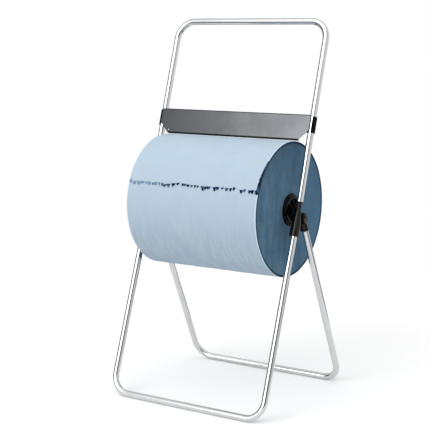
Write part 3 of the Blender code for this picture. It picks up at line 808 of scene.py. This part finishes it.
def build_pivots():
    for word, side in SIDES:
        build_bolt(word, side)
        face = PIVOT + ACROSS * side * (HALF_WIDTH + TONGUE_INNER - GAP)
        build_nut("pivot_nut_body_" + word, face, -ACROSS * side, NUT_RADIUS, BOLT_RADIUS + GAP, NUT_HEIGHT,
                  "stand", "pivot_nut_" + word)


# -------- axle and plugs

def build_axle():
    profile = rounded_line([(0, ROD_HALF), (ROD_RADIUS, ROD_HALF), (ROD_RADIUS, -ROD_HALF), (0, -ROD_HALF)],
                           0.0008, 5, False)
    axle = lathe("axle_bar", profile, pointing(AXLE, ACROSS), 64)
    finish(axle, "stand", ZINC, ["axle_rod"])
    for word, side in SIDES:
        inner = ROLL_HALF + PLUG_HUB + GAP
        outer = CRADLE_INNER - GAP
        hole = ROD_RADIUS + GAP
        outline = [(hole, outer), (WASHER_RADIUS, outer), (WASHER_RADIUS, inner), (hole, inner)]
        washer = lathe("washer_" + word, rounded_line(outline, 0.0004), pointing(AXLE, ACROSS * side), 64)
        finish(washer, "stand", ZINC, ["thrust_washer_" + word])


def plug_outline():
    """Half a section: hub, recess, domed flange, and the barrel that grips the core."""
    barrel = CORE_BORE - 0.0005
    return [
        (PLUG_BORE, PLUG_HUB), (0.0116, PLUG_HUB), (0.0122, 0.0042), (0.0262, 0.0042), (0.0272, 0.0084),
        (0.0340, 0.0080), (0.0374, 0.0062), (0.0391, 0.0036), (FLANGE_RADIUS, 0.0016), (FLANGE_RADIUS, GAP),
        (barrel, GAP), (barrel, -PLUG_DEPTH + 0.0030), (barrel - 0.0015, -PLUG_DEPTH),
        (barrel - PLUG_WALL, -PLUG_DEPTH), (barrel - PLUG_WALL, 0.0010),
        (0.0100, 0.0010), (0.0100, -PLUG_DEPTH), (PLUG_BORE, -PLUG_DEPTH),
    ]


def build_plug(word, side):
    outward = ACROSS * side
    face = AXLE + outward * ROLL_HALF
    plug = lathe("plug_" + word, rounded_line(plug_outline(), 0.0009), pointing(face, outward), 96)
    section = [(RIB_START, RIB_ROOT), (RIB_END, RIB_ROOT), (RIB_END, 0.0078), (RIB_START, 0.0096)]
    section = rounded_line(section, 0.0006)
    ribs = []
    for i in range(PLUG_RIBS):
        angle = 2 * math.pi * i / PLUG_RIBS
        radial = Vector((0, math.cos(angle), math.sin(angle)))
        place = placed(face, radial, outward, radial.cross(outward))
        ribs.append(bevelled(prism("rib_%d" % i, section, RIB_THICKNESS, place), 0.0004, 2))
    combined(plug, ribs)
    finish(plug, "roll", DULL_PLASTIC, ["roll_plug_" + word])


# -------- paper roll

def eased(value, start, end):
    """0 at start, 1 at end, and smooth between."""
    t = min(1.0, max(0.0, (value - start) / (end - start)))
    return t * t * (3 - 2 * t)


def tear_wobble(x):
    """How far the torn edge strays round the roll, in radians: waves, teeth and one hump."""
    waves = noise.noise(Vector((x * 14.0, 3.1, 7.7)))
    teeth = noise.noise(Vector((x * 70.0, 1.3, 4.2)))
    hump = math.exp(-((x + 0.033) / 0.022) ** 2)
    return 0.016 * waves + 0.006 * teeth + 0.022 * hump


def around_axle(x, radius, angle):
    """The point at x, at a radius from the axle, and at an angle above the horizontal at the front."""
    return Vector((x, AXLE.y - radius * math.cos(angle), AXLE.z + radius * math.sin(angle)))


def skin_point(turn, x):
    """A point of the wound skin. turn runs from 0 just under the torn edge, down and round, to 2 pi."""
    fading = 0.5
    near_edge = max(1 - turn / fading, 0, 1 - (2 * math.pi - turn) / fading)
    angle = TEAR_ANGLE + tear_wobble(x) * eased(near_edge, 0, 1) - turn
    lift = SHEET_STEP * turn / (2 * math.pi)
    # creases are deepest from 75 to 150 degrees below the torn edge
    below = eased(math.degrees(turn), 12, 75) * eased(-math.degrees(turn), -190, -150)
    creases = noise.noise(Vector((x * 130.0, turn * 5.0, 0.5)))
    creases += 0.6 * noise.noise(Vector((x * 260.0, turn * 9.0, 9.0)))
    slack = noise.noise(Vector((x * 9.0, turn * 1.3, 2.0)))
    radius = ROLL_RADIUS - SHEET_STEP - SKIN_DEPTH + lift
    radius += 0.00050 * below * (creases - 0.8) + 0.00030 * slack
    end = abs(x) - (ROLL_HALF - RIM_ROUND)
    if end > 0:
        radius -= RIM_ROUND - math.sqrt(max(RIM_ROUND ** 2 - end ** 2, 0))
    return around_axle(x, radius, angle)


def end_point(side, edge, share):
    """A point of the sawn end, from the skin's edge at share 0 in to the core at share 1."""
    spoke = Vector((0, edge.y - AXLE.y, edge.z - AXLE.z))
    outer = spoke.length
    radius = outer + (CORE_RADIUS - outer) * share
    spoke.normalize()
    hollow = 1 + noise.noise(Vector((spoke.y * 3, spoke.z * 3, side * 5.0 + radius * 30)))
    sink = 0.0006 * hollow * eased(share, 0, 0.05) * eased(-share, -1.0, -0.8)
    return Vector((edge.x - side * sink, AXLE.y, AXLE.z)) + spoke * radius


def roll_columns():
    """Distances along the roll: even, and close together at its rounded ends."""
    even = 200
    close = 4
    half = ROLL_HALF - RIM_ROUND
    middle = [-half + 2 * half * i / even for i in range(even + 1)]
    ends = [half + RIM_ROUND * math.sin(math.pi / 2 * i / close) for i in range(1, close + 1)]
    return [-x for x in reversed(ends)] + middle + ends


def build_roll():
    """One closed skin: the wound paper round its step, the two sawn ends, and the bore between them."""
    columns = roll_columns()
    rows = 300
    verts = [skin_point(2 * math.pi * i / rows, x) for i in range(rows + 1) for x in columns]
    wide = len(columns)
    faces = grid_faces(rows, wide - 1)
    for j in range(wide - 1):
        faces.append([rows * wide + j, rows * wide + j + 1, j + 1, j])
    skin_faces = len(faces)
    rim = 0.03
    shares = [0.004, 0.012, rim] + [rim + (1 - rim) * i / 30 for i in range(1, 31)]
    bores = []
    for side, column in ((-1, 0), (1, wide - 1)):
        edge = [i * wide + column for i in range(rows + 1)]
        previous = edge
        for share in shares:
            ring = list(range(len(verts), len(verts) + rows + 1))
            verts += [end_point(side, verts[i], share) for i in edge]
            faces += ring_faces(previous, ring)
            previous = ring
        bores.append(previous)
    faces += ring_faces(*bores)
    roll = mesh_object("wound_paper", verts, faces)
    finish(roll, "roll", PAPER, ["paper_roll"], 50)
    roll.data.materials.append(PAPER_END)
    for face in roll.data.polygons[skin_faces:]:
        face.material_index = 1


def tuft(x, width, length, curl, lean, shift=0.0):
    """A torn tab on the edge of the outer sheet: a small flap that curls away from the roll."""
    across = 5
    along = 6
    verts = []
    for i in range(along + 1):
        t = i / along
        narrowing = 1 - 0.55 * t ** 1.6
        for j in range(across + 1):
            s = (j / across - 0.5) * width * narrowing + lean * t * length
            ragged = 1 + 0.5 * noise.noise(Vector((x * 900 + j * 1.7, t, 0.3)))
            here_x = min(max(x + s, -ROLL_HALF + 0.0005), ROLL_HALF - 0.0002)
            angle = TEAR_ANGLE + tear_wobble(here_x) + (shift + (0.25 - t) * length * ragged) / ROLL_RADIUS
            radius = min(ROLL_RADIUS - SHEET_STEP + curl * t ** 1.6 * ragged, TAB_LIMIT)
            verts.append(around_axle(here_x, radius, angle))
    return verts, grid_faces(along, across)


def loose_corner():
    """The outer sheet's loose edge at the right end, from the torn edge up: it folds round the rim, and its
    navy is painted shade for the gap there.
    """
    rows = 28
    rise = math.radians(31)
    verts = []
    for i in range(rows + 1):
        t = i / rows
        angle = TEAR_ANGLE - math.radians(2.5) + rise * t
        frayed = 1 + 0.4 * noise.noise(Vector((t * 9.0, 6.1, 2.4)))
        width = (0.0008 + 0.0056 * (1 - t) ** 0.9) * frayed
        drop = (0.0010 + 0.0024 * (1 - t)) * frayed
        section = [(-width, -0.0004), (-width / 2, 0), (-0.0006, 0),
                   (0.0004, -0.0008), (0.0005, -drop / 2), (0.0001, -drop)]
        for past_end, lift in section:
            verts.append(around_axle(ROLL_HALF + past_end, TAB_LIMIT + lift, angle))
    return verts, grid_faces(rows, len(section) - 1)


def chance(number, spacing, row):
    """A repeatable number, mostly between 0 and 1, that differs from tab to tab and from row to row."""
    return 0.5 + 0.8 * noise.noise(Vector((number * spacing, *row)))


def build_torn_edge():
    """The loose corner, a broken row of torn tabs, and two more tabs at the right end."""
    pieces = [loose_corner()]
    x = -ROLL_HALF + 0.006
    number = 0
    while x < ROLL_HALF - 0.012:
        number += 1
        size = chance(number, 1.37, (5.5, 0.2))
        droop = chance(number, 2.11, (8.5, 3.2))
        place = chance(number, 1.73, (2.5, 7.2))
        width = 0.0036 + 0.0078 * size
        length = 0.0042 + 0.0062 * droop
        curl = 0.0010 + 0.0020 * size
        pieces.append(tuft(x, width, length, curl, (droop - 0.5) * 0.9, (place - 0.5) * 0.004))
        x += width * 0.75 + 0.0022 + 0.0120 * place ** 2 * (0.3 + 0.7 * eased(x, -0.09, -0.04))
    pieces.append(tuft(ROLL_HALF - 0.0165, 0.0060, 0.0060, 0.0022, -0.5, 0.0016))
    pieces.append(tuft(ROLL_HALF - 0.0050, 0.0100, 0.0090, 0.0030, 0.4))
    verts = []
    faces = []
    for more, their_faces in pieces:
        faces += [[k + len(verts) for k in face] for face in their_faces]
        verts += more
    torn = mesh_object("torn_edge", verts, faces)
    thick = torn.modifiers.new("paper", "SOLIDIFY")
    thick.thickness = 0.0003
    thick.offset = 0
    settled(torn)
    # the tabs and the loose corner are all navy: painted shade
    finish(torn, "roll", TORN)


# -------- tear bar and its clips

def bar_point(x, depth, along):
    return START + ACROSS * x + HANDLE_FRONT * depth + HANDLE_UP * along


def bar_plane(depth):
    """A place for outlines in the bar's own plane, at a depth in front of the handle's line."""
    return placed(START + HANDLE_FRONT * depth, ACROSS, HANDLE_UP, -HANDLE_FRONT)


def bar_section():
    """The folded sheet, from behind its upper flange round the front to its lower flange, and back."""
    rear = BAR_FRONT - BAR_FLANGE
    inside = BAR_FRONT - BAR_SHEET
    outline = [(rear, BAR_TOP), (BAR_FRONT, BAR_TOP), (BAR_FRONT, BAR_BOTTOM), (rear, BAR_BOTTOM),
               (rear, BAR_BOTTOM + BAR_SHEET), (inside, BAR_BOTTOM + BAR_SHEET),
               (inside, BAR_TOP - BAR_SHEET), (rear, BAR_TOP - BAR_SHEET)]
    edge = 0.0004
    bend = BAR_BEND - BAR_SHEET
    return rounded_line(outline, (edge, BAR_BEND, BAR_BEND, edge, edge, bend, bend, edge), 8)


def stud_heights():
    middle = BAR_TOP - CLIP_DROP - CLIP_LENGTH / 2
    return middle - STUD_SPACING / 2, middle + STUD_SPACING / 2


def bar_cutters(side, half):
    """A wedge that cuts the lower corner at 45 degrees, and a notch that shortens the upper flange."""
    reach = 3 * CUT
    corner = side * (half - CORNER_CUT)
    past = corner + side * 2 * reach
    wedge = [(corner - side * reach, BAR_BOTTOM - reach), (past, BAR_BOTTOM - reach),
             (past, BAR_BOTTOM + 2 * reach)]
    start = side * TOP_FLANGE_HALF
    end = side * (half + CUT)
    low = BAR_TOP - BAR_BEND
    high = BAR_TOP + CUT
    notch = [(start, low), (end, low), (end, high), (start, high)]
    return [prism("corner", wedge, 3 * CUT, bar_plane(0.008)),
            prism("notch", notch, 2 * CUT, bar_plane(BAR_FRONT - BAR_BEND - CUT))]


def build_bar():
    half = BAR_HIGH.x
    place = placed(START, HANDLE_FRONT, HANDLE_UP, HANDLE_FRONT.cross(HANDLE_UP))
    bar = prism("tear_bar_sheet", bar_section(), 2 * half, place)
    cutters = []
    studs = []
    for side in (-1, 1):
        cutters += bar_cutters(side, half)
        for along in stud_heights():
            root = bar_point(side * (HALF_WIDTH - STUD_INSET), BAR_FRONT - BAR_SHEET * 0.6, along)
            studs.append(rod("stud", STUD_RADIUS, root, root - HANDLE_FRONT * STUD_LENGTH))
    hole = bar_point(-(half - CORNER_CUT - 0.001), BAR_FRONT + 0.002, BAR_BOTTOM + HANGING_HEIGHT)
    cutters.append(rod("hole", HANGING_HOLE, hole, hole - HANDLE_FRONT * 0.006, 32))
    combined(bar, cutters, "DIFFERENCE")
    bevelled(bar, 0.00018, 2, 50)
    combined(bar, studs)
    finish(bar, "bar_slider", SHEET, ["tear_bar"], 30, True)


def clip_outline(side):
    """A sprung ring round the handle's tube, open at the front, with a foot along the bar's back."""
    outer = CLIP_BORE + CLIP_WALL
    lip = CLIP_LIP - math.pi / 2
    back = math.pi
    foot = -(BAR_FRONT - BAR_SHEET - GAP)
    outline = arc((0, 0), outer, lip, back, 48)
    outline += [(-outer, foot + CLIP_FOOT), (-CLIP_INNER_END, foot + CLIP_FOOT), (-CLIP_INNER_END, foot),
                (-CLIP_BORE, foot)]
    outline += arc((0, 0), CLIP_BORE, back, lip, 48)
    return [(side * x, y) for x, y in outline]


def build_clip(word, side):
    middle = BAR_TOP - CLIP_DROP - CLIP_LENGTH / 2
    centre = START + ACROSS * side * HALF_WIDTH + HANDLE_UP * middle
    place = placed(centre, ACROSS, -HANDLE_FRONT, HANDLE_UP)
    clip = prism("clip_" + word, clip_outline(side), CLIP_LENGTH, place)
    depth = BAR_FRONT - BAR_SHEET - GAP - CLIP_FOOT
    points = [bar_point(side * (HALF_WIDTH - STUD_INSET), depth, along) for along in stud_heights()]
    holes = []
    for point in points:
        start = point - HANDLE_FRONT * 0.004
        holes.append(rod("hole", STUD_RADIUS + GAP, start, start + HANDLE_FRONT * CUT, 32))
    bevelled(clip, 0.0005, 3, 40)
    combined(clip, holes, "DIFFERENCE")
    finish(clip, "bar_slider", DULL_PLASTIC, ["bar_clip_" + word], 40, True)
    for number, point in enumerate(points, 1):
        build_nut("clip_nut_body_%s_%d" % (word, number), point - HANDLE_FRONT * GAP, -HANDLE_FRONT,
                  CLIP_NUT_RADIUS, STUD_RADIUS + GAP, CLIP_NUT_HEIGHT, "bar_slider",
                  "clip_nut_%s_%d" % (word, number))


# -------- studio

def build_floor():
    """A plain pale floor. To reflections it is a little darker, and much darker far from the stand."""
    half = 1.5
    corners = [(-half, -half, 0), (half, -half, 0), (half, half, 0), (-half, half, 0)]
    below = Matrix.Translation((0, 0, CAD_BOX[0][2] - 0.0002))
    floor = mesh_object("floor", corners, [[0, 1, 2, 3]], below)
    made, tree, shader = new_material("pale_floor", {"Roughness": 0.9, "Specular IOR Level": 0.0})
    seen = node(tree, "LightPath").outputs["Is Camera Ray"]
    cloud = noise_at(tree, place_in(tree), 3.0)
    pale = blended(tree, cloud, (0.97, 0.97, 0.97), (0.99, 0.99, 0.99))
    from_stand = vector_math(tree, "LENGTH", node(tree, "TexCoord").outputs["Object"])
    far = spread(tree, from_stand, 0, 1, 0.80, 1.05)
    shaded = blended(tree, far, (0.88, 0.88, 0.88), (0.15, 0.17, 0.23))
    tree.links.new(blended(tree, seen, shaded, pale), shader.inputs["Base Color"])
    floor.data.materials.append(made)


STUDIO_LIGHT = 0.62
# Patches of the studio that only reflections and shading see. Each has its azimuth (0 straight in front
# of the stand, + to its right) and elevation, the angles from there at which it starts to fade and is
# gone, all in degrees, and what it adds to the light.
STUDIO_PATCHES = (
    (0, 90, 24, 42, 0.42),          # ceiling panel
    (0, 52, 10, 42, 0.60),          # its light on the front wall
    (-12, 26, 13, 25, 2.60),        # softbox at the front
    (0, 14, 20, 80, 0.44),          # pale wall behind it
    (42, 6, 16, 25, -0.84),         # dark round the camera
    (-61, 5, 16, 27, -0.68),        # dark at the left
    (140, 8, 20, 60, 0.26),         # pale wall at the rear right
    (-148, -22, 12, 34, -0.55),     # dark ground beyond the floor, at the rear left
    (-32, -28, 12, 32, -0.55),      # and at the front left
)


def studio_direction(azimuth, elevation):
    a = math.radians(azimuth)
    e = math.radians(elevation)
    return (math.sin(a) * math.cos(e), -math.cos(a) * math.cos(e), math.sin(e))


def lobe(tree, direction, azimuth, elevation, inner, outer):
    """1 within inner degrees of a direction, 0 beyond outer degrees."""
    made = node(tree, "MapRange", interpolation_type="SMOOTHSTEP")
    near = vector_math(tree, "DOT_PRODUCT", direction, studio_direction(azimuth, elevation))
    tree.links.new(near, made.inputs["Value"])
    made.inputs["From Min"].default_value = math.cos(math.radians(outer))
    made.inputs["From Max"].default_value = math.cos(math.radians(inner))
    return made.outputs["Result"]


def studio_light(tree):
    """The studio's own light and all its patches, as one socket."""
    direction = node(tree, "TexCoord").outputs["Generated"]
    total = None
    for *place, strength in STUDIO_PATCHES:
        step = node(tree, "Math", operation="MULTIPLY_ADD")
        tree.links.new(lobe(tree, direction, *place), step.inputs[0])
        step.inputs[1].default_value = strength
        if total is None:
            step.inputs[2].default_value = STUDIO_LIGHT
        else:
            tree.links.new(total, step.inputs[2])
        total = step.outputs["Value"]
    return total


def build_studio():
    """A white backdrop to the camera, and the studio's patches to everything else."""
    world = bpy.data.worlds.new("studio")
    world.use_nodes = True
    tree = world.node_tree
    white = (1.0, 1.0, 1.0, 1.0)
    lit = node(tree, "Background", Strength=studio_light(tree), Color=white)
    backdrop = node(tree, "Background", Strength=1.0, Color=white)
    mixed = node(tree, "MixShader")
    tree.links.new(node(tree, "LightPath").outputs["Is Camera Ray"], mixed.inputs[0])
    tree.links.new(lit.outputs[0], mixed.inputs[1])
    tree.links.new(backdrop.outputs[0], mixed.inputs[2])
    tree.links.new(mixed.outputs[0], tree.nodes["World Output"].inputs["Surface"])
    bpy.context.scene.world = world
    bpy.context.scene.view_settings.view_transform = "Standard"


def build_camera():
    """A long lens in front of the stand, to its right, looking a little down."""
    down = math.radians(9.13)
    turned = math.radians(32.63)
    data = bpy.data.cameras.new("camera")
    data.lens = 97.5
    data.sensor_width = 36.0
    camera = bpy.data.objects.new("camera", data)
    bpy.context.scene.collection.objects.link(camera)
    camera.location = (1.5151, -2.4258, 0.9052)
    camera.rotation_euler = (math.pi / 2 - down, 0, turned)
    bpy.context.scene.camera = camera


def main():
    build_camera()
    build_studio()
    build_floor()
    build_frames()
    build_axle()
    build_pivots()
    build_bar()
    for word, side in SIDES:
        build_connector(word, side)
        build_socket(word, side)
        build_plug(word, side)
        build_clip(word, side)
    build_roll()
    build_torn_edge()
    core = frame["nodes"]["roll_core"].data.materials
    core.clear()
    core.append(BOARD)


main()
